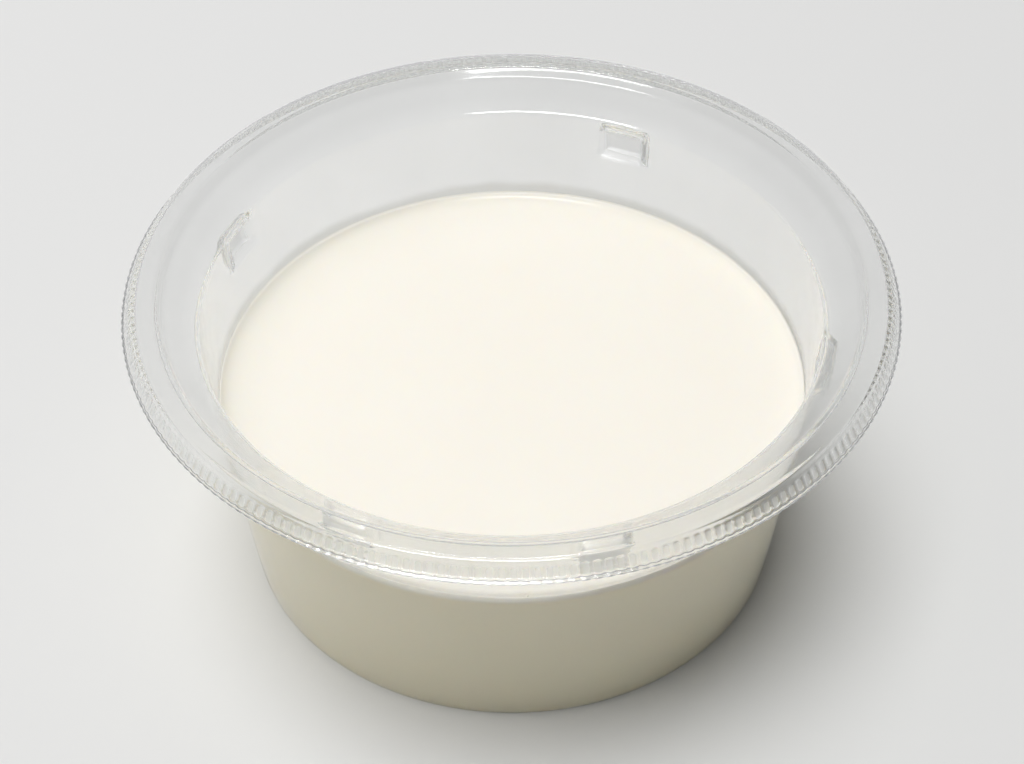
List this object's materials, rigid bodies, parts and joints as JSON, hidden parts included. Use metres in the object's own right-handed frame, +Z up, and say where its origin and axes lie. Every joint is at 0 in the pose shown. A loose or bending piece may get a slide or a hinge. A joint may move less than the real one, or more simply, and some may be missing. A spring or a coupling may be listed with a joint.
{
  "type": "milk pudding cup",
  "caption": "Clear round plastic dessert cup with a wide flanged, knurled rim and stacking lugs, a little over half full of smooth cream-white set milk pudding.",
  "frame": {"origin": "middle of the cup's underside, where it stands on the table", "axes": "+Z up along the cup's axis, -Y towards the viewer of the picture"},
  "size_m": [0.095, 0.095, 0.0418],
  "materials": {
    "clear_plastic": "clear, glossy thermoformed sheet with a faint frosting",
    "milk_pudding": "smooth, moist, cream-white and slightly glossy"
  },
  "bodies": {
    "root": {"cup": "clear_plastic", "pudding": "milk_pudding"}
  },
  "joints": []
}
